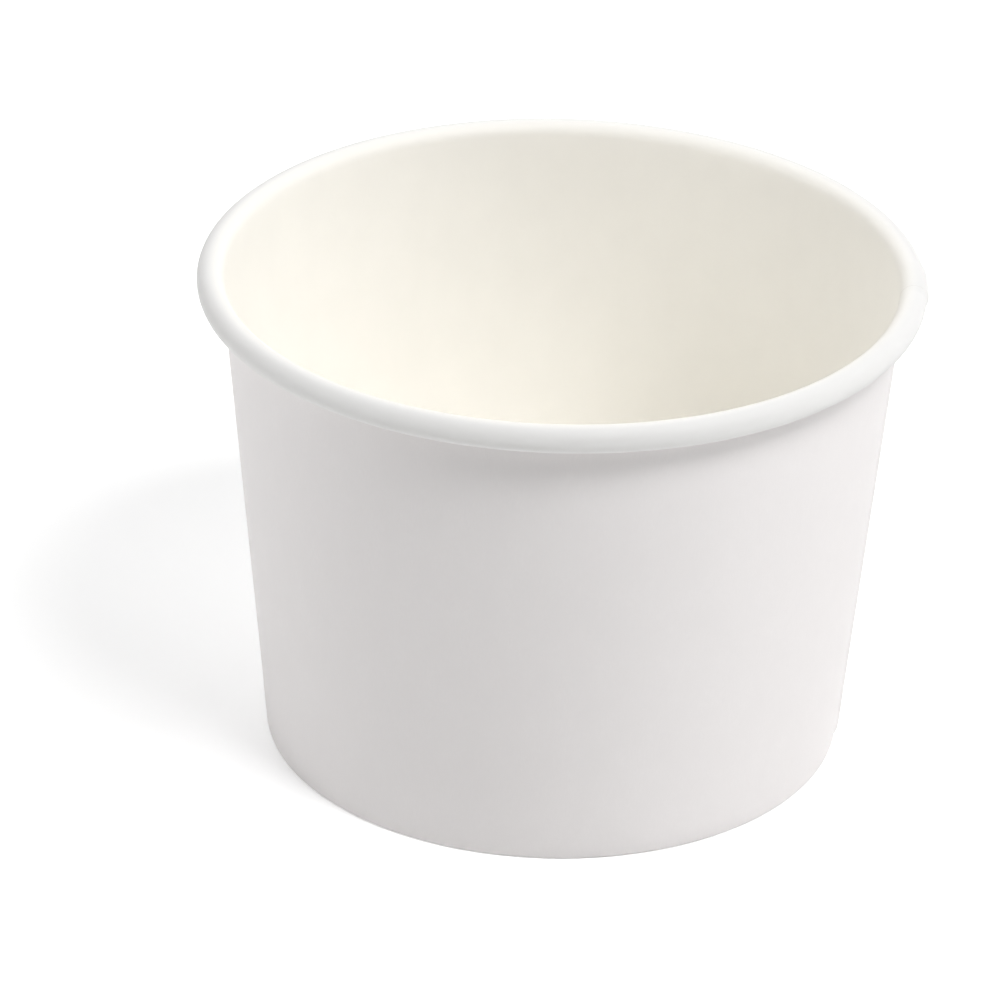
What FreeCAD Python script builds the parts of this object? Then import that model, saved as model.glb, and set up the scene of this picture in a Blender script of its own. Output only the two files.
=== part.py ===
"""A rolled-rim paperboard sundae cup: a side wall and a bottom disc. Sizes are in millimetres.

The cup stands on the plane z = 0 with its axis on +Z. Both pieces are folded board, so each one is
the section of its sheet turned about the axis. The wall's lap seam runs down its +X side.
"""
import FreeCAD, Part
import math
import os
import Sketcher

V = FreeCAD.Vector

# Each driving dimension: its name, its value and what it measures.
SIZES = [
    ("rim_diameter", 90.0, "over the rolled rim"),
    ("cup_height", 63.5, "from the table to the top of the rim"),
    ("foot_diameter", 72.4, "of the wall's outside, carried down to the table"),
    ("wall_board", 0.35, "thickness of the wall's board"),
    ("roll_diameter", 3.4, "of the rolled rim's own section"),
    ("roll_gap", 0.03, "between the wall and the roll's inner turn"),
    ("inner_turn", 205.0, "degrees that the board runs on inside the roll"),
    ("crease_radius", 0.06, "inside radius of the foot's two creases"),
    ("hem_height", 5.6, "from the table to the hem's cut edge"),
    ("floor_board", 0.3, "thickness of the bottom disc's board"),
    ("floor_height", 6.8, "from the table to the floor's upper face"),
    ("floor_bend", 0.45, "inside radius where the floor turns down into its skirt"),
    ("seal_gap", 0.02, "of sealing film on each side of the skirt"),
    ("skirt_lift", 0.25, "from the foot's fold up to the skirt's cut edge"),
    ("lap_width", 6.5, "of the lap seam, measured round the rim"),
    ("lap_ramp", 1.5, "length over which the outer end steps off the inner one"),
    ("lap_angle", 0.0, "degrees about the axis, from +X to the middle of the lap"),
]
SIZE = {name: value for name, value, meaning in SIZES}

doc = FreeCAD.newDocument("sundae_cup")
sheet = doc.addObject("Spreadsheet::Sheet", "sizes")
for row, (name, value, meaning) in enumerate(SIZES, start=1):
    sheet.set(f"A{row}", name)
    sheet.set(f"B{row}", str(value))
    sheet.set(f"C{row}", meaning)
    sheet.setAlias(f"B{row}", name)
doc.recompute()

# Expressions over the sheet's cells that several sketches share.
ROLL_RADIUS = "sizes.roll_diameter / 2"
ROLL_CENTRE_R = f"sizes.rim_diameter / 2 - {ROLL_RADIUS}"
ROLL_CENTRE_Z = f"sizes.cup_height - {ROLL_RADIUS}"
FOLD_RADIUS = "(sizes.crease_radius + sizes.wall_board)"
HALF_LAP = "(sizes.lap_width / sizes.rim_diameter * 180 / pi)"
RAMP_END = "((sizes.lap_width + 2 * sizes.lap_ramp) / sizes.rim_diameter * 180 / pi)"

# A strip along the lap ends inside the board of the roll's inner turn: this many roll radii and
# this many steps from one turn to the next below the top of the rim.
END_RADII = 1.4
END_STEPS = 0.6
ROLL_STEP = "(sizes.wall_board + sizes.roll_gap)"
LAP_TOP = f"sizes.cup_height - {END_RADII} * {ROLL_RADIUS} - {END_STEPS} * {ROLL_STEP}"

# Depths and widths of the strips along the lap, counted in boards.
STRIP_ROOT = 0.5     # a layer's inner side, halfway into the wall's board
CHANNEL_ROOT = 1.5   # a channel's inner side, half a board clear of the film side
FULL_WIDTH = 1.5     # of a layer at its full height, and of a channel at its full depth
THIN_WIDTH = 0.25    # of either where it has run out, wholly inside or outside the board

# The wall's outside line runs from the foot, tangent to the inside of the roll. SLOPE is its lean.
BOARD = SIZE["wall_board"]
ROLL = SIZE["roll_diameter"] / 2
STEP = BOARD + SIZE["roll_gap"]
FOLD = SIZE["crease_radius"] + BOARD
FOOT = V(SIZE["foot_diameter"] / 2, 0, 0)
ROLL_CENTRE = V(SIZE["rim_diameter"] / 2 - ROLL, SIZE["cup_height"] - ROLL, 0)
TO_ROLL = ROLL_CENTRE - FOOT
SLOPE = math.acos((ROLL - BOARD) / TO_ROLL.Length) - math.atan2(TO_ROLL.y, TO_ROLL.x)
LEAN = math.degrees(SLOPE)
UP = V(math.sin(SLOPE), math.cos(SLOPE), 0)
OUT = V(math.cos(SLOPE), -math.sin(SLOPE), 0)


def on_wall(height, offset):
    """The point at a height on a line beside the wall's outside, an offset further out."""
    start = FOOT + OUT * offset
    return start + UP * ((height - start.y) / UP.y)


def on_circle(centre, radius, angle):
    """The point of a circle at an angle in degrees."""
    return centre + V(math.cos(math.radians(angle)), math.sin(math.radians(angle)), 0) * radius


class Section:
    """A sketch in a half plane through the cup's axis, where x is the radius and y the height.

    Its geometry is laid down where the sizes put it. Constraints bound to the sheet then hold it.
    """

    def __init__(self, body, name, angle=None):
        self.sketch = body.newObject("Sketcher::SketchObject", name)
        plane = next(o for o in body.Origin.OriginFeatures if o.Role == "XZ_Plane")
        self.sketch.AttachmentSupport = [(plane, "")]
        self.sketch.MapMode = "FlatFace"
        if angle:
            about_axis = FreeCAD.Rotation(V(0, 1, 0), 1)
            self.sketch.AttachmentOffset = FreeCAD.Placement(V(0, 0, 0), about_axis)
            self.sketch.setExpression("AttachmentOffset.Rotation.Angle", f"({angle}) * 1 deg")

    def line(self, start, end, construction=False):
        return self.sketch.addGeometry(Part.LineSegment(start, end), construction)

    def arc(self, centre, radius, low, high):
        circle = Part.Circle(centre, V(0, 0, 1), radius)
        arc = Part.ArcOfCircle(circle, math.radians(low), math.radians(high))
        return self.sketch.addGeometry(arc, False)

    def rule(self, kind, *where):
        return self.sketch.addConstraint(Sketcher.Constraint(kind, *where))

    def size(self, expression, kind, *where):
        index = self.rule(kind, *where)
        self.sketch.setExpression(f"Constraints[{index}]", expression)

    def foot_corner(self, line):
        """Makes a line pass through the point where the wall's outside meets the table."""
        corner = self.sketch.addGeometry(Part.Point(FOOT), True)
        self.size("sizes.foot_diameter / 2", "DistanceX", -1, 1, corner, 1, FOOT.x)
        self.rule("PointOnObject", corner, 1, -1)
        self.rule("PointOnObject", corner, 1, line)

    def wall_guide(self):
        """A construction line along the wall's outside, from the table to the roll."""
        radius = ROLL - BOARD
        circle = self.sketch.addGeometry(Part.Circle(ROLL_CENTRE, V(0, 0, 1), radius), True)
        self.size(ROLL_CENTRE_R, "DistanceX", -1, 1, circle, 3, ROLL_CENTRE.x)
        self.size(ROLL_CENTRE_Z, "DistanceY", -1, 1, circle, 3, ROLL_CENTRE.y)
        self.size(f"{ROLL_RADIUS} - sizes.wall_board", "Radius", circle, radius)
        guide = self.line(FOOT, on_circle(ROLL_CENTRE, radius, 180 - LEAN), construction=True)
        self.foot_corner(guide)
        self.rule("PointOnObject", guide, 1, -1)
        self.rule("Tangent", guide, 2, circle)
        return guide


def turned(body, name, section):
    """The solid that a section sweeps about the cup's axis."""
    solid = body.newObject("PartDesign::Revolution", name)
    solid.Profile = section.sketch
    solid.ReferenceAxis = (section.sketch, ["V_Axis"])
    return solid


def lofted(body, kind, name, first, last):
    """A straight loft between two sections."""
    solid = body.newObject(kind, name)
    solid.Profile = first.sketch
    solid.Sections = [last.sketch]
    solid.Ruled = True
    return solid


def wall_section(body):
    """The wall's sheet in one line: hem, foot fold, wall, and the roll's two turns."""
    section = Section(body, "wall_section")
    inner_roll = ROLL_CENTRE - V(0, STEP, 0)
    curl_end = -90 - SIZE["inner_turn"]
    crease_1 = on_wall(FOLD, -FOLD)
    gap = SIZE["floor_board"] + 2 * SIZE["seal_gap"]
    hem_face = -BOARD - gap
    crease_2 = on_wall(FOLD, hem_face + SIZE["crease_radius"])
    hem_top = on_wall(SIZE["hem_height"], hem_face - BOARD)
    crease_arc = (180 - LEAN, 270)

    wall_in = section.line(crease_1 + OUT * SIZE["crease_radius"],
                           on_circle(ROLL_CENTRE, ROLL, 180 - LEAN))
    wall_out = section.line(crease_1 + OUT * FOLD,
                            on_circle(ROLL_CENTRE, ROLL - BOARD, 180 - LEAN))
    roll_out = section.arc(ROLL_CENTRE, ROLL, -90, 180 - LEAN)
    roll_in = section.arc(ROLL_CENTRE, ROLL - BOARD, -90, 180 - LEAN)
    curl_out = section.arc(inner_roll, ROLL - STEP, curl_end, -90)
    curl_in = section.arc(inner_roll, ROLL - STEP - BOARD, curl_end, -90)
    curl_edge = section.line(on_circle(inner_roll, ROLL - STEP, curl_end),
                             on_circle(inner_roll, ROLL - STEP - BOARD, curl_end))
    fold_out = section.arc(crease_1, FOLD, -90, -LEAN)
    fold_in = section.arc(crease_1, SIZE["crease_radius"], -90, -LEAN)
    base_out = section.line(crease_1 - V(0, FOLD, 0), crease_2 - V(0, FOLD, 0))
    base_in = section.line(crease_1 - V(0, SIZE["crease_radius"], 0),
                           crease_2 - V(0, SIZE["crease_radius"], 0))
    turn_out = section.arc(crease_2, FOLD, *crease_arc)
    turn_in = section.arc(crease_2, SIZE["crease_radius"], *crease_arc)
    hem_in = section.line(crease_2 - OUT * FOLD, hem_top)
    hem_edge = section.line(hem_top, hem_top + OUT * BOARD)
    hem_out = section.line(crease_2 - OUT * SIZE["crease_radius"], hem_top + OUT * BOARD)

    smooth_joints = [
        (wall_in, 2, roll_out, 2), (wall_out, 2, roll_in, 2),
        (roll_out, 1, curl_out, 2), (roll_in, 1, curl_in, 2),
        (wall_out, 1, fold_out, 2), (wall_in, 1, fold_in, 2),
        (fold_out, 1, base_out, 1), (fold_in, 1, base_in, 1),
        (base_out, 2, turn_out, 2), (base_in, 2, turn_in, 2),
        (turn_out, 1, hem_in, 1), (turn_in, 1, hem_out, 1),
    ]
    cut_corners = [
        (curl_out, 1, curl_edge, 1), (curl_edge, 2, curl_in, 1),
        (hem_in, 2, hem_edge, 1), (hem_edge, 2, hem_out, 2),
    ]
    same_centres = [(roll_out, roll_in), (curl_out, curl_in), (fold_out, fold_in), (turn_out, turn_in)]
    for joint in smooth_joints:
        section.rule("Tangent", *joint)
    for corner in cut_corners:
        section.rule("Coincident", *corner)
    for outer, inner in same_centres:
        section.rule("Coincident", outer, 3, inner, 3)

    section.size(ROLL_CENTRE_R, "DistanceX", -1, 1, roll_out, 3, ROLL_CENTRE.x)
    section.size(ROLL_CENTRE_Z, "DistanceY", -1, 1, roll_out, 3, ROLL_CENTRE.y)
    section.size(ROLL_RADIUS, "Radius", roll_out, ROLL)
    section.size(f"{ROLL_RADIUS} - sizes.wall_board", "Radius", roll_in, ROLL - BOARD)
    section.size(f"{ROLL_RADIUS} - sizes.wall_board - sizes.roll_gap", "Radius", curl_out, ROLL - STEP)
    section.rule("Vertical", roll_out, 1, roll_out, 3)
    section.size("sizes.inner_turn * 1 deg", "Angle", curl_out, math.radians(SIZE["inner_turn"]))
    section.rule("PointOnObject", curl_out, 3, curl_edge)

    section.foot_corner(wall_out)
    section.rule("Horizontal", base_out)
    section.rule("PointOnObject", base_out, 1, -1)
    for outer, inner in ((fold_out, fold_in), (turn_out, turn_in)):
        section.size(FOLD_RADIUS, "Radius", outer, FOLD)
        section.size("sizes.crease_radius", "Radius", inner, SIZE["crease_radius"])
    section.rule("Parallel", hem_out, wall_in)
    section.rule("Parallel", hem_in, hem_out)
    section.rule("Perpendicular", hem_edge, hem_in)
    section.size("sizes.floor_board + 2 * sizes.seal_gap", "Distance", hem_out, 1, wall_in, gap)
    section.size("sizes.hem_height", "DistanceY", -1, 1, hem_in, 2, SIZE["hem_height"])
    return section


def lap_section(body, name, angle, depth, width):
    """A strip along the wall in the half plane at an angle, from the foot's fold up into the roll.

    depth is how far its inner side lies behind the wall's outside and width is its thickness,
    both counted in boards. Its top ends inside the board of the roll's inner turn.
    """
    section = Section(body, name, angle)
    guide = section.wall_guide()
    top_z = SIZE["cup_height"] - END_RADII * ROLL - END_STEPS * STEP
    back = -depth * BOARD
    front = (width - depth) * BOARD
    inner = section.line(on_wall(FOLD, back), on_wall(top_z, back))
    outer = section.line(on_wall(FOLD, front), on_wall(top_z, front))
    bottom = section.line(on_wall(FOLD, back), on_wall(FOLD, front))
    top = section.line(on_wall(top_z, back), on_wall(top_z, front))
    corners = [(inner, 1, bottom, 1), (bottom, 2, outer, 1), (inner, 2, top, 1), (top, 2, outer, 2)]
    for corner in corners:
        section.rule("Coincident", *corner)
    for side in (inner, outer):
        section.rule("Parallel", side, guide)
    for end in (bottom, top):
        section.rule("Horizontal", end)
    section.size(f"{depth} * sizes.wall_board", "Distance", inner, 1, guide, -back)
    section.size(f"{width} * sizes.wall_board", "Distance", outer, 1, inner, front - back)
    section.size(FOLD_RADIUS, "DistanceY", -1, 1, bottom, 1, FOLD)
    section.size(LAP_TOP, "DistanceY", -1, 1, top, 1, top_z)
    return section


def floor_section(body):
    """The bottom disc: its flat floor, the bend at its edge, and the skirt along the wall."""
    section = Section(body, "floor_section")
    guide = section.wall_guide()
    board = SIZE["floor_board"]
    bend = SIZE["floor_bend"]
    skirt_face = -BOARD - SIZE["seal_gap"]
    under = SIZE["floor_height"] - board
    centre = on_wall(under - bend, skirt_face - board - bend)
    skirt_end = on_wall(BOARD + SIZE["skirt_lift"], skirt_face)
    bend_arc = (-LEAN, 90)

    top = section.line(V(0, SIZE["floor_height"], 0), centre + V(0, bend + board, 0))
    bend_out = section.arc(centre, bend + board, *bend_arc)
    skirt_out = section.line(centre + OUT * (bend + board), skirt_end)
    skirt_edge = section.line(skirt_end, skirt_end - OUT * board)
    skirt_in = section.line(centre + OUT * bend, skirt_end - OUT * board)
    bend_in = section.arc(centre, bend, *bend_arc)
    bottom = section.line(V(0, under, 0), centre + V(0, bend, 0))
    axis = section.line(V(0, SIZE["floor_height"], 0), V(0, under, 0))

    smooth_joints = [
        (top, 2, bend_out, 2), (bend_out, 1, skirt_out, 1),
        (bottom, 2, bend_in, 2), (bend_in, 1, skirt_in, 1),
    ]
    cut_corners = [
        (skirt_out, 2, skirt_edge, 1), (skirt_edge, 2, skirt_in, 2),
        (top, 1, axis, 1), (bottom, 1, axis, 2),
    ]
    for joint in smooth_joints:
        section.rule("Tangent", *joint)
    for corner in cut_corners:
        section.rule("Coincident", *corner)
    section.rule("Coincident", bend_out, 3, bend_in, 3)
    for end in (top, bottom):
        section.rule("Horizontal", end)
        section.rule("PointOnObject", end, 1, -2)
    section.size("sizes.floor_bend + sizes.floor_board", "Radius", bend_out, bend + board)
    section.size("sizes.floor_bend", "Radius", bend_in, bend)
    section.size("sizes.floor_height", "DistanceY", -1, 1, top, 1, SIZE["floor_height"])
    section.rule("Parallel", skirt_out, guide)
    section.rule("Parallel", skirt_in, guide)
    section.rule("Perpendicular", skirt_edge, skirt_out)
    section.size("sizes.wall_board + sizes.seal_gap", "Distance", skirt_out, 1, guide, -skirt_face)
    section.size("sizes.wall_board + sizes.skirt_lift", "DistanceY", -1, 1, skirt_out, 2, skirt_end.y)
    return section


def side_wall():
    """The wall's blank: rolled at the top, hemmed at the foot, and lapped on itself at the seam."""
    body = doc.addObject("PartDesign::Body", "side_wall")
    body.Label = "side_wall"
    turned(body, "rolled_wall", wall_section(body))

    middle = "sizes.lap_angle"
    inner_end = f"{middle} - {HALF_LAP}"
    ramp_end = f"{middle} - {RAMP_END}"
    layer = turned(body, "lap_layer", lap_section(body, "lap_middle", middle, STRIP_ROOT, FULL_WIDTH))
    layer.Midplane = True
    layer.setExpression("Angle", f"2 * {HALF_LAP} * 1 deg")
    step = lap_section(body, "step_high", inner_end, STRIP_ROOT, FULL_WIDTH)
    flush = lap_section(body, "step_low", ramp_end, STRIP_ROOT, THIN_WIDTH)
    lofted(body, "PartDesign::AdditiveLoft", "outer_step", step, flush)
    channel = lap_section(body, "channel_deep", inner_end, CHANNEL_ROOT, FULL_WIDTH)
    shallow = lap_section(body, "channel_shallow", ramp_end, CHANNEL_ROOT, THIN_WIDTH)
    lofted(body, "PartDesign::SubtractiveLoft", "inner_channel", channel, shallow)
    return body


def bottom_disc():
    """The round of board that makes the floor, with its edge turned down."""
    body = doc.addObject("PartDesign::Body", "bottom_disc")
    body.Label = "bottom_disc"
    turned(body, "skirted_disc", floor_section(body))
    return body


pieces = [side_wall(), bottom_disc()]
doc.recompute()

for item in doc.Objects:
    if "Invalid" in item.State or "Error" in item.State:
        raise RuntimeError(f"{item.Label} did not build: {item.State}")
for piece in pieces:
    if piece.Shape.isNull() or not piece.Shape.isValid() or len(piece.Shape.Solids) != 1:
        raise RuntimeError(f"{piece.Label} is not one valid solid")

os.makedirs("parts", exist_ok=True)
for piece in pieces:
    piece.Shape.exportStep(f"parts/{piece.Label}.step")
    print(piece.Label, "volume", round(piece.Shape.Volume, 1), "box", piece.Shape.BoundBox)
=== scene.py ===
import math

import bmesh
import bpy
import numpy as np
from mathutils import Matrix, Vector


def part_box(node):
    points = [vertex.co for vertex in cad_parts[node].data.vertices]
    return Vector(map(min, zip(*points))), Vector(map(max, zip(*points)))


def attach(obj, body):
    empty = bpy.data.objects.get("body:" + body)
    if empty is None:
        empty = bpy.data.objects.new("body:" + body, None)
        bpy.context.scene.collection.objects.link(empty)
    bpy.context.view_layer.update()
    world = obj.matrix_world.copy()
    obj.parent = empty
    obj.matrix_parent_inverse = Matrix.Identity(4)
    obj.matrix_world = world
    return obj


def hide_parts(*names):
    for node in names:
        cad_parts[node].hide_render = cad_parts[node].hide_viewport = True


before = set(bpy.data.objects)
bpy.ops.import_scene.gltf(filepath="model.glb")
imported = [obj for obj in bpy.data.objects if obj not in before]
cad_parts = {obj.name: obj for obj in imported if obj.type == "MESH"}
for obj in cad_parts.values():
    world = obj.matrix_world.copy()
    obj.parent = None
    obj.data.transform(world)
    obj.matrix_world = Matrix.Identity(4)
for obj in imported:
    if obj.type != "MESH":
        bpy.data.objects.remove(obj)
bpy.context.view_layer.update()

MM = 0.001
WALL_LOW, WALL_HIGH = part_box("side_wall")

# Sizes of the cup, in millimetres. The rim and the height come from the frame.
RIM_RADIUS = (WALL_HIGH[0] - WALL_LOW[0]) / 2 / MM
CUP_HEIGHT = WALL_HIGH[2] / MM
FOOT_RADIUS = 36.2
BOARD = 0.35
ROLL = 1.7
ROLL_GAP = 0.03
INNER_TURN = 205.0
CREASE = 0.06
HEM_HEIGHT = 5.6
FLOOR_BOARD = 0.3
FLOOR_HEIGHT = 6.8
FLOOR_BEND = 0.45
SEAL_GAP = 0.02
SKIRT_LIFT = 0.25

# The lap seam, in millimetres round the rim, with its middle on the +X side. The end on the outside
# steps off the other one over LAP_RAMP, and the board settles back past the seam over LAP_SETTLE.
LAP_WIDTH = 6.5
LAP_RAMP = 1.5
LAP_SETTLE = 2.2
LAP_FILM = 0.01
SEAM_BULGE = 0.1

# On the roll the lap's inner end is pressed thin, so that the seam hardly shows there. Real board can't
# be pressed that thin. PRESSED is the share of it that is left. The rest comes back over PRESS_WIDTH
# past the lap, and over PRESS_RISE below the roll.
PRESSED = 0.04
PRESS_WIDTH = 3.0
PRESS_RISE = 1.6

# The hem's knurl: ribs pressed into its inner face, and the faint ledge they leave outside.
KNURLS = 144
STEPS_PER_KNURL = 5
KNURL_DEPTH = 0.05
LEDGE_DEPTH = 0.03
LEDGE_RISE = 0.8

# How far the cup strays from a true round, which is a guess: counts of waves, heights and phases.
RIM_SWAY = ((2, 0.10, 0.6), (3, 0.05, 2.1), (5, 0.02, 4.0))
RIM_LIFT = ((2, 0.04, 1.7), (3, 0.03, 0.3))
HEM_WAVES = ((3, 0.10, 1.0), (7, 0.05, 2.4), (11, 0.03, 5.1))

# The floor sags inside a flat edge. The skirt's pleats fade in just inside the skirt.
FLOOR_SAG = 0.18
FLOOR_FLAT_EDGE = 1.5
SKIRT_PLEATS = 120
STEPS_PER_PLEAT = 6
PLEAT_DEPTH = 0.02
PLEAT_REACH = 1.4
PLEAT_FADE = 0.8

FOOT_FOLD = CREASE + BOARD
PRESS_LOW = CUP_HEIGHT - 2 * ROLL - PRESS_RISE
ROLL_CENTRE = np.array([RIM_RADIUS - ROLL, CUP_HEIGHT - ROLL])
FOOT_EDGE = np.array([FOOT_RADIUS, 0.0])
TO_ROLL = ROLL_CENTRE - FOOT_EDGE
LEAN = math.acos((ROLL - BOARD) / math.hypot(*TO_ROLL)) - math.atan2(TO_ROLL[1], TO_ROLL[0])
UP = np.array([math.sin(LEAN), math.cos(LEAN)])
OUT = np.array([math.cos(LEAN), -math.sin(LEAN)])


def on_wall(height, offset):
    """The point at a height on a line beside the wall's outside, an offset further out."""
    start = FOOT_EDGE + OUT * offset
    return start + UP * ((height - start[1]) / UP[1])


def smooth(t):
    t = np.clip(t, 0.0, 1.0)
    return t * t * (3 - 2 * t)


def waves(parts, angle):
    """A sum of cosines round the cup: each part is a count, a height and a phase."""
    return sum(size * np.cos(count * angle + phase) for count, size, phase in parts)


def directions(first, last, steps):
    """Unit vectors at even steps of angle, in degrees, both ends among them."""
    turn = np.radians(np.linspace(first, last, steps + 1))
    return np.stack([np.cos(turn), np.sin(turn)], axis=1)


def even(first, last, steps):
    return first + (last - first) * np.linspace(0, 1, steps + 1)[:, None]


# Heights of the wall's rows, as shares of its length. They are close together where the hem ends
# inside, and under the roll, where the lap is pressed.
WALL_ROWS = (0.03, 0.06, 0.08, 0.09, 0.1, 0.115, 0.14, 0.2, 0.32, 0.46, 0.6, 0.74, 0.87, 0.95, 0.975)
HEM_ROWS = 5
CREASE_ROWS = 3
ROLL_ROWS = 18
CURL_ROWS = 12
RAMP_COLUMNS = 8
SETTLE_COLUMNS = 6
LEAST_TURN = 0.0012

# Radii of the floor's rings, and its rows over the bend and down the skirt.
FLOOR_RINGS = (3.0, 8.0, 14.0, 20.0, 26.0, 30.0, 33.0)
BEND_ROWS = 6
SKIRT_ROWS = 4


def sheet_line(stack, hem_shift):
    """The film face of the wall's board, from the hem's cut edge to the curl's.

    stack is 0 for one board and 1 where two lie on each other. Returns the points, the unit
    vectors towards the board's outer face, and each row's part of the cup.
    """
    lean = math.degrees(LEAN)
    centre = ROLL_CENTRE + OUT * SEAM_BULGE * stack
    roll = ROLL + SEAM_BULGE * stack
    step = BOARD * (1 + stack) + ROLL_GAP
    hem_face = -BOARD - FLOOR_BOARD - 2 * SEAL_GAP
    fold = FOOT_FOLD + BOARD * stack
    crease_1 = on_wall(fold, -FOOT_FOLD)
    crease_2 = on_wall(fold, hem_face + CREASE)
    hem_top = on_wall(HEM_HEIGHT + hem_shift, hem_face)

    pieces = []
    points = even(hem_top, crease_2 - OUT * CREASE, HEM_ROWS)[:-1]
    pieces.append(("hem", points, np.tile(-OUT, (len(points), 1))))
    turn = directions(180 - lean, 270, CREASE_ROWS)
    pieces.append(("fold", crease_2 + turn * CREASE, turn))
    turn = directions(270, 360 - lean, CREASE_ROWS)
    pieces.append(("fold", crease_1 + turn * CREASE, turn))
    low = crease_1 + OUT * CREASE
    high = centre - OUT * roll
    shares = np.array(WALL_ROWS)[:, None]
    points = low + (high - low) * shares
    pieces.append(("wall", points, np.tile(OUT, (len(points), 1))))
    turn = directions(180 - lean, -90, ROLL_ROWS)
    pieces.append(("roll", centre + turn * roll, -turn))
    turn = directions(-90, -90 - INNER_TURN, CURL_ROWS)[1:]
    inner = centre - np.array([0.0, step])
    pieces.append(("curl", inner + turn * (roll - step), -turn))
    names, points, faces = zip(*pieces)
    parts = [name for name, run in zip(names, points) for point in run]
    return np.concatenate(points), np.concatenate(faces), parts


def seam_angles():
    """The angles of the wall's columns, from its inner cut edge to its outer one."""
    half_lap = LAP_WIDTH / 2 / RIM_RADIUS
    start = -half_lap
    end = 2 * math.pi + half_lap
    even_steps = np.arange(0, end - start, 2 * math.pi / (KNURLS * STEPS_PER_KNURL)) + start
    ramp = LAP_RAMP / RIM_RADIUS
    settle = LAP_SETTLE / RIM_RADIUS
    step_up = np.linspace(2 * math.pi - half_lap - ramp, 2 * math.pi - half_lap, RAMP_COLUMNS + 1)
    step_down = np.linspace(half_lap, half_lap + settle, SETTLE_COLUMNS + 1)
    every = np.unique(np.round(np.concatenate([even_steps, step_up, step_down, [end]]), 6))
    apart = np.concatenate([[True], np.diff(every) > LEAST_TURN])
    every = every[apart]
    every[-1] = end
    return every, half_lap, ramp, settle


def build_mesh(name, points, faces, groups, materials):
    """A mesh object from points in millimetres, with a material for each face group."""
    mesh = bpy.data.meshes.new(name)
    mesh.from_pydata((np.asarray(points) * MM).tolist(), [], faces)
    for material in materials:
        mesh.materials.append(material)
    mesh.polygons.foreach_set("material_index", groups)
    mesh.polygons.foreach_set("use_smooth", [True] * len(faces))
    solid = bmesh.new()
    solid.from_mesh(mesh)
    bmesh.ops.recalc_face_normals(solid, faces=solid.faces)
    solid.to_mesh(mesh)
    solid.free()
    mesh.set_sharp_from_angle(angle=math.radians(SHARP_EDGE))
    piece = bpy.data.objects.new(name, mesh)
    bpy.context.collection.objects.link(piece)
    return piece


FILM, OUTSIDE, CUT = 0, 1, 2
SHARP_EDGE = 48


def wall_mesh(materials):
    """The side wall as its real blank: one sheet whose ends lap, hemmed below and rolled above."""
    angles, half_lap, ramp, settle = seam_angles()
    columns = []
    for angle in angles:
        climb = smooth((angle - (2 * math.pi - half_lap - ramp)) / ramp)
        relax = 1 - smooth((angle - half_lap) / settle)
        stack = float(max(climb, relax))
        hem_shift = float(waves(HEM_WAVES, angle))
        film, face, parts = sheet_line(stack, hem_shift)
        press = (1 - PRESSED) * smooth((film[:, 1:2] - PRESS_LOW) / PRESS_RISE)
        thin = 1 - press * (1 - smooth((angle - half_lap) * RIM_RADIUS / PRESS_WIDTH))
        layer = climb * (BOARD * (1 - press) + LAP_FILM)
        film = film + face * layer
        outer = film + face * (BOARD * thin)
        hem_rows = np.array([part == "hem" for part in parts])
        rib = 0.5 + 0.5 * math.cos(KNURLS * angle)
        outer[hem_rows] -= face[hem_rows] * KNURL_DEPTH * rib
        wall_rows = np.array([part == "wall" for part in parts])
        ledge = smooth((HEM_HEIGHT + LEDGE_RISE / 2 - outer[wall_rows, 1:2]) / LEDGE_RISE)
        outer[wall_rows] += face[wall_rows] * LEDGE_DEPTH * ledge
        loop = np.concatenate([film, outer[::-1]])
        high = smooth(loop[:, 1] / CUP_HEIGHT)
        radius = loop[:, 0] + waves(RIM_SWAY, angle) * high
        height = loop[:, 1] + waves(RIM_LIFT, angle) * high
        columns.append(np.stack([radius * math.cos(angle), radius * math.sin(angle), height], axis=1))

    around = len(columns)
    rows = len(parts)
    loop = 2 * rows
    faces = []
    groups = []
    for i in range(around - 1):
        for j in range(loop):
            k = (j + 1) % loop
            faces.append((i * loop + j, (i + 1) * loop + j, (i + 1) * loop + k, i * loop + k))
            groups.append(FILM if j < rows - 1 else CUT if j in (rows - 1, loop - 1) else OUTSIDE)
    for i, flip in ((0, False), (around - 1, True)):
        for j in range(rows - 1):
            quad = (i * loop + j, i * loop + j + 1, i * loop + loop - 2 - j, i * loop + loop - 1 - j)
            faces.append(quad[::-1] if flip else quad)
            groups.append(CUT)
    return build_mesh("cup_side_wall", np.concatenate(columns), faces, groups, materials)


def floor_line():
    """The bottom disc's upper face from near its middle to the skirt's cut edge, and its board side."""
    lean = math.degrees(LEAN)
    skirt_face = -BOARD - SEAL_GAP
    under = FLOOR_HEIGHT - FLOOR_BOARD
    bend = FLOOR_BEND + FLOOR_BOARD
    centre = on_wall(under - FLOOR_BEND, skirt_face - bend)
    radii = np.array(FLOOR_RINGS)
    flat = np.stack([radii, np.full(len(radii), FLOOR_HEIGHT)], axis=1)
    turn = directions(90, -lean, BEND_ROWS)
    skirt_end = on_wall(BOARD + SKIRT_LIFT, skirt_face)
    skirt = even(centre + OUT * bend, skirt_end, SKIRT_ROWS)[1:]
    points = np.concatenate([flat, centre + turn * bend, skirt])
    down = np.tile(np.array([0.0, -1.0]), (len(radii), 1))
    face = np.concatenate([down, -turn, np.tile(-OUT, (len(skirt), 1))])
    return points, face


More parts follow.
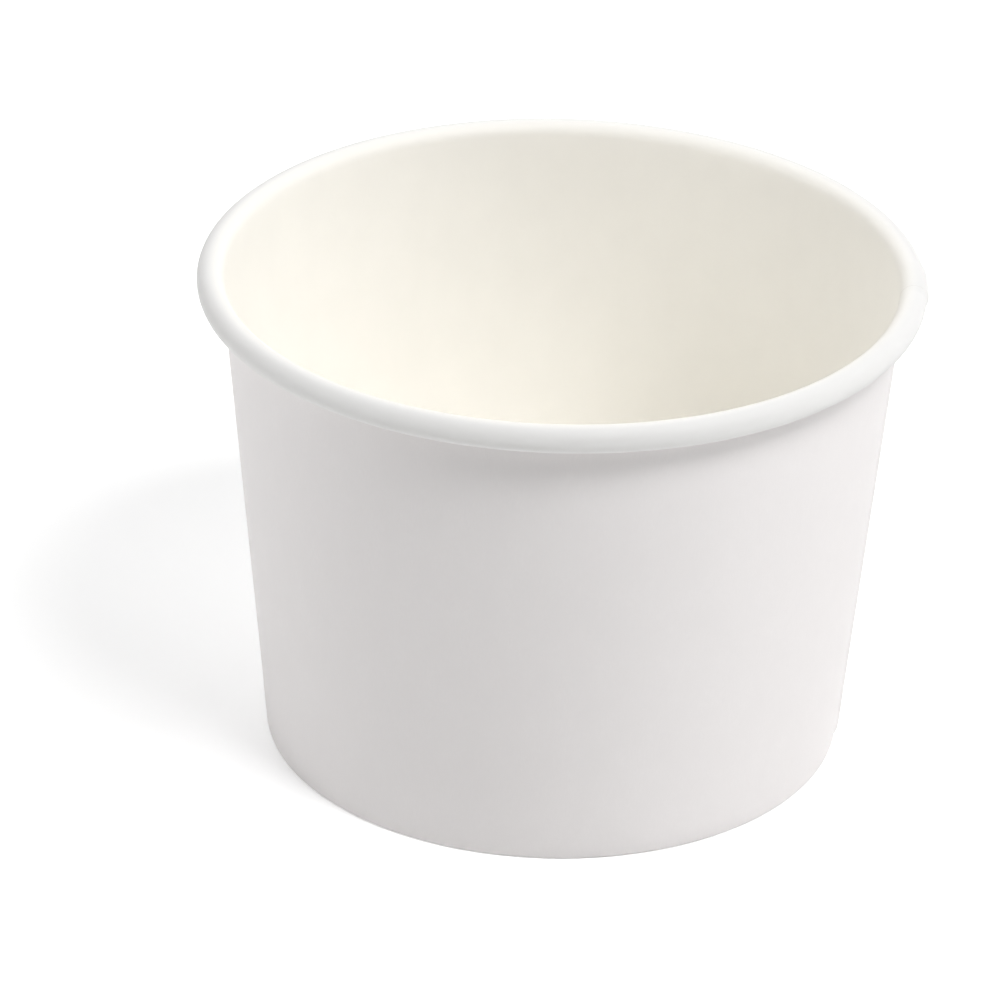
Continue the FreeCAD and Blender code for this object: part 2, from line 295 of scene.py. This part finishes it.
def floor_mesh(materials):
    """The bottom disc: a round of board, slightly sagged, with its edge drawn down into a skirt."""
    film, face = floor_line()
    under = film + face * FLOOR_BOARD
    loop = np.concatenate([film, under[::-1]])
    rows = len(film)
    size = len(loop)
    around = SKIRT_PLEATS * STEPS_PER_PLEAT
    edge = film[:, 0].max()
    bent = smooth((loop[:, 0] - (edge - PLEAT_REACH)) / PLEAT_FADE)
    columns = []
    for i in range(around):
        angle = 2 * math.pi * i / around
        pleat = PLEAT_DEPTH * (math.cos(SKIRT_PLEATS * angle) - 1) / 2
        radius = loop[:, 0] + pleat * bent
        sag = FLOOR_SAG * np.clip(1 - (loop[:, 0] / (edge - FLOOR_FLAT_EDGE)) ** 2, 0, 1)
        height = loop[:, 1] - sag
        columns.append(np.stack([radius * math.cos(angle), radius * math.sin(angle), height], axis=1))
    points = np.concatenate(columns)
    middle = len(points)
    top = FLOOR_HEIGHT - FLOOR_SAG
    points = np.concatenate([points, [[0, 0, top], [0, 0, top - FLOOR_BOARD]]])
    faces = []
    groups = []
    for i in range(around):
        n = (i + 1) % around
        for j in range(size - 1):
            faces.append((i * size + j, n * size + j, n * size + j + 1, i * size + j + 1))
            groups.append(FILM if j < rows - 1 else CUT if j == rows - 1 else OUTSIDE)
        faces.append((i * size, middle, n * size))
        groups.append(FILM)
        faces.append((n * size + size - 1, middle + 1, i * size + size - 1))
        groups.append(OUTSIDE)
    return build_mesh("cup_bottom_disc", points, faces, groups, materials)


# Colours are linear, and were tuned together with the lamps' levels below. The board is white. The
# film side is one sheet, painted with light: inside the cup, as far as the roll's crest, it is cream and
# lighter, which is painted bounce light; over the roll it is darker and whiter, which is painted shade.
WHITE_BOARD = (0.845, 0.820, 0.815)
FILM_PAINTED_SHADE = (0.785, 0.780, 0.770)
FILM_PAINTED_BOUNCE = (0.962, 0.942, 0.892)
CUT_BOARD = (0.800, 0.775, 0.730)

# Radii between which the film side turns from its painted bounce light to its painted shade, over the
# roll's crest.
PAINTED_BOUNCE_TO = RIM_RADIUS - ROLL - 1.4
PAINTED_SHADE_FROM = RIM_RADIUS - ROLL + 0.8

# Sizes of the board's blobs and fibres, in millimetres. Along the grain they are a few times longer.
PULP_CLOUD = 3.2
FILM_CLOUD = 4.0
FIBRE = 0.22
TOOTH = 0.45
FILM_GRAIN = 0.5
PLY = 0.12


class Shader:
    """A material's nodes, made and joined in one line each."""

    def __init__(self, name):
        self.material = bpy.data.materials.new(name)
        self.material.use_nodes = True
        self.tree = self.material.node_tree
        self.surface = self.tree.nodes["Principled BSDF"]
        place = self.add("ShaderNodeTexCoord")
        self.place = self.add("ShaderNodeMapping", Vector=place.outputs["Object"])
        self.place.inputs["Scale"].default_value = (1 / MM, 1 / MM, 1 / MM)

    def add(self, kind, settings=None, **inputs):
        node = self.tree.nodes.new(kind)
        for key, value in (settings or {}).items():
            setattr(node, key, value)
        for key, value in inputs.items():
            self.join(node.inputs[key.replace("_", " ")], value)
        return node

    def join(self, socket, value):
        if isinstance(value, bpy.types.NodeSocket):
            self.tree.links.new(value, socket)
        else:
            socket.default_value = value

    def noise(self, size, stretch=1.0, detail=2.0):
        """Noise with blobs of about a size in millimetres, drawn out upwards by a factor."""
        across = self.add("ShaderNodeMapping", Vector=self.place.outputs["Vector"])
        across.inputs["Scale"].default_value = (1 / size, 1 / size, 1 / (size * stretch))
        return self.add("ShaderNodeTexNoise", Vector=across.outputs["Vector"], Scale=1.0,
                        Detail=detail).outputs["Fac"]

    def spread(self, value, low, high):
        """Maps noise, which lies mostly between 0.3 and 0.7, to a range."""
        ranged = self.add("ShaderNodeMapRange", Value=value, To_Min=low, To_Max=high)
        ranged.inputs["From Min"].default_value = 0.3
        ranged.inputs["From Max"].default_value = 0.7
        return ranged.outputs["Result"]

    def mix(self, factor, first, second):
        node = self.add("ShaderNodeMix", {"data_type": "RGBA"})
        self.join(node.inputs[0], factor)
        for socket, value in ((node.inputs[6], first), (node.inputs[7], second)):
            self.join(socket, value if isinstance(value, bpy.types.NodeSocket) else (*value, 1.0))
        return node.outputs[2]

    def bump(self, height, depth, under=None):
        """A bump of a depth in millimetres, over another one if given."""
        node = self.add("ShaderNodeBump", Height=height, Distance=depth * MM)
        if under:
            self.join(node.inputs["Normal"], under)
        return node.outputs["Normal"]


def shade(colour, factor):
    return tuple(channel * factor for channel in colour)


def board_material(name, colour, tooth, roughness, clouding):
    """Uncoated board: a faint cloudiness of the pulp, fibres along the grain, and a fine tooth."""
    paper = Shader(name)
    clouds = paper.spread(paper.noise(PULP_CLOUD, 1.6, 3.0), 0.0, 1.0)
    fibres = paper.noise(FIBRE, 4.0, 3.0)
    grain = paper.noise(TOOTH, 1.5, 4.0)
    pulp = paper.mix(clouds, shade(colour, 1 - clouding), shade(colour, 1 + clouding * 0.5))
    flecks = paper.spread(fibres, 0.0, 1.0)
    paper.join(paper.surface.inputs["Base Color"], paper.mix(flecks, shade(colour, 0.985), pulp))
    paper.join(paper.surface.inputs["Roughness"], paper.spread(grain, roughness - 0.05, roughness + 0.05))
    surface = paper.bump(clouds, tooth * 1.5)
    surface = paper.bump(grain, tooth, surface)
    paper.join(paper.surface.inputs["Normal"], paper.bump(fibres, tooth * 0.8, surface))
    paper.surface.inputs["Specular IOR Level"].default_value = 0.2
    return paper.material


def film_material():
    """The film side: the board shows through a thin coat. Painted bounce light makes it cream inside,
    painted shade darker and whiter over the rim.
    """
    film = Shader("board_film_side")
    clouds = film.spread(film.noise(FILM_CLOUD, 1.4, 3.0), 0.0, 1.0)
    grain = film.noise(FILM_GRAIN, 2.0, 3.0)
    level = film.add("ShaderNodeVectorMath", {"operation": "MULTIPLY"}, Vector=film.place.outputs["Vector"])
    level.inputs[1].default_value = (1.0, 1.0, 0.0)
    radius = film.add("ShaderNodeVectorMath", {"operation": "LENGTH"}, Vector=level.outputs["Vector"])
    # The film's colour is painted light: painted bounce light inside the cup, turning by radius to painted
    # shade over the roll.
    rim = film.add("ShaderNodeMapRange", {"interpolation_type": "SMOOTHSTEP"},
                   Value=radius.outputs["Value"])
    rim.inputs["From Min"].default_value = PAINTED_BOUNCE_TO
    rim.inputs["From Max"].default_value = PAINTED_SHADE_FROM
    mottled_painted_bounce = film.mix(clouds, shade(FILM_PAINTED_BOUNCE, 0.985), FILM_PAINTED_BOUNCE)
    # The mottled cream film inside is painted bounce light; the darker film over the rim is painted shade.
    film.join(film.surface.inputs["Base Color"], film.mix(rim.outputs["Result"], mottled_painted_bounce, FILM_PAINTED_SHADE))
    film.join(film.surface.inputs["Roughness"], film.spread(clouds, 0.52, 0.60))
    surface = film.bump(clouds, 0.006)
    film.join(film.surface.inputs["Normal"], film.bump(grain, 0.003, surface))
    film.surface.inputs["Specular IOR Level"].default_value = 0.25
    return film.material


def cut_material():
    """A cut edge, where the plies of the board show."""
    edge = Shader("board_cut_edge")
    plies = edge.noise(PLY, 1.0, 4.0)
    colour = edge.mix(edge.spread(plies, 0.0, 1.0), shade(CUT_BOARD, 0.9), CUT_BOARD)
    edge.join(edge.surface.inputs["Base Color"], colour)
    edge.join(edge.surface.inputs["Normal"], edge.bump(plies, 0.02))
    edge.surface.inputs["Roughness"].default_value = 0.85
    edge.surface.inputs["Specular IOR Level"].default_value = 0.2
    return edge.material


def build_cup():
    film = film_material()
    outside = board_material("board_outside", WHITE_BOARD, 0.004, 0.62, 0.012)
    cut = cut_material()
    wall = wall_mesh([film, outside, cut])
    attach(wall, "root")
    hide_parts("side_wall")
    disc = floor_mesh([film, outside, cut])
    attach(disc, "root")
    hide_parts("bottom_disc")


# The camera, found by fitting the rim's and the foot's outlines in the photograph.
CAMERA_DISTANCE = 865.5
CAMERA_RISE = 29.615
CAMERA_YAW = 0.477
CAMERA_PITCH = 1.796
CAMERA_ROLL = -1.506
CAMERA_LENS = 243.8
CAMERA_SENSOR = 36.0


def add_camera():
    rise = math.radians(CAMERA_RISE)
    place = Vector((0, -math.cos(rise), math.sin(rise))) * CAMERA_DISTANCE * MM
    ahead = -place.normalized()
    right = Vector((1, 0, 0))
    up = right.cross(ahead)
    yaw = Matrix.Rotation(math.radians(CAMERA_YAW), 3, up)
    ahead = yaw @ ahead
    right = yaw @ right
    pitch = Matrix.Rotation(math.radians(CAMERA_PITCH), 3, right)
    ahead = pitch @ ahead
    up = pitch @ up
    roll = Matrix.Rotation(math.radians(CAMERA_ROLL), 3, ahead)
    right = roll @ right
    up = roll @ up
    lens = bpy.data.cameras.new("photo_camera")
    lens.sensor_width = CAMERA_SENSOR
    lens.lens = CAMERA_LENS
    lens.clip_start = 0.01
    camera = bpy.data.objects.new("photo_camera", lens)
    turn = Matrix((right, up, -ahead)).transposed().to_4x4()
    camera.matrix_world = Matrix.Translation(place) @ turn
    bpy.context.collection.objects.link(camera)
    bpy.context.scene.camera = camera


# Light levels are shares of what a white sky of strength 1 gives a surface that faces it.
LAMPS = [
    # name, towards the lamp, level, distance and side in metres
    ("key_lamp", (0.42, -0.52, 1.0), 0.43, 1.2, 0.35),
    ("side_key_lamp", (0.75, -0.45, 1.0), 0.25, 1.2, 0.35),
    ("right_lamp", (0.93, -0.15, 0.30), 0.09, 1.5, 0.9),
    ("left_lamp", (-0.92, -0.08, 0.36), 0.31, 1.5, 0.9),
    ("high_left_lamp", (-0.70, 0.0, 0.70), 0.16, 1.5, 1.0),
    ("back_lamp", (0.0, 0.70, 0.70), 0.26, 1.5, 1.0),
    ("back_right_lamp", (0.60, 0.40, 0.70), 0.27, 1.5, 1.0),
]
FLOOR_COLOUR = (0.93, 0.93, 0.93)
FLOOR_LIFT = 0.33
FLOOR_HALF = 3.0


def add_lamp(name, towards, level, distance, side):
    light = bpy.data.lights.new(name, "AREA")
    light.shape = "RECTANGLE"
    light.size = side
    light.size_y = side
    light.energy = level * math.pi ** 2 * distance ** 2
    lamp = bpy.data.objects.new(name, light)
    place = Vector(towards).normalized() * distance
    lamp.location = place
    lamp.rotation_euler = (-place).to_track_quat("-Z", "Y").to_euler()
    lamp.visible_camera = False
    bpy.context.collection.objects.link(lamp)


def seen_directly(tree):
    """1 where a ray comes straight from the camera, or by a mirror or glass."""
    path = tree.nodes.new("ShaderNodeLightPath")
    first = tree.nodes.new("ShaderNodeMath")
    first.operation = "MAXIMUM"
    tree.links.new(path.outputs["Is Camera Ray"], first.inputs[0])
    tree.links.new(path.outputs["Is Glossy Ray"], first.inputs[1])
    second = tree.nodes.new("ShaderNodeMath")
    second.operation = "MAXIMUM"
    tree.links.new(first.outputs[0], second.inputs[0])
    tree.links.new(path.outputs["Is Transmission Ray"], second.inputs[1])
    return second.outputs[0]


def add_sky():
    """A surrounding that is plain white to the camera and in reflections, with no other light."""
    world = bpy.data.worlds.new("studio")
    bpy.context.scene.world = world
    world.use_nodes = True
    tree = world.node_tree
    tree.nodes.clear()
    white = tree.nodes.new("ShaderNodeBackground")
    white.inputs["Color"].default_value = (1.0, 1.0, 1.0, 1.0)
    tree.links.new(seen_directly(tree), white.inputs["Strength"])
    out = tree.nodes.new("ShaderNodeOutputWorld")
    tree.links.new(white.outputs[0], out.inputs["Surface"])


def add_floor():
    """A white floor that takes the cup's shadow.

    A glow that only the camera and reflections see keeps it white, and makes the shadow lighter.
    """
    material = bpy.data.materials.new("studio_floor")
    material.use_nodes = True
    tree = material.node_tree
    tree.nodes.clear()
    paper = tree.nodes.new("ShaderNodeBsdfDiffuse")
    paper.inputs["Color"].default_value = (*FLOOR_COLOUR, 1.0)
    lift = tree.nodes.new("ShaderNodeEmission")
    level = tree.nodes.new("ShaderNodeMath")
    level.operation = "MULTIPLY"
    level.inputs[1].default_value = FLOOR_LIFT
    tree.links.new(seen_directly(tree), level.inputs[0])
    tree.links.new(level.outputs[0], lift.inputs["Strength"])
    both = tree.nodes.new("ShaderNodeAddShader")
    out = tree.nodes.new("ShaderNodeOutputMaterial")
    tree.links.new(paper.outputs[0], both.inputs[0])
    tree.links.new(lift.outputs[0], both.inputs[1])
    tree.links.new(both.outputs[0], out.inputs["Surface"])
    mesh = bpy.data.meshes.new("studio_floor")
    half = FLOOR_HALF
    corners = [(-half, -half, 0), (half, -half, 0), (half, half, 0), (-half, half, 0)]
    mesh.from_pydata(corners, [], [(0, 1, 2, 3)])
    mesh.materials.append(material)
    floor = bpy.data.objects.new("studio_floor", mesh)
    bpy.context.collection.objects.link(floor)


build_cup()
add_camera()
add_sky()
add_floor()
for lamp in LAMPS:
    add_lamp(*lamp)
bpy.context.scene.view_settings.view_transform = "Standard"
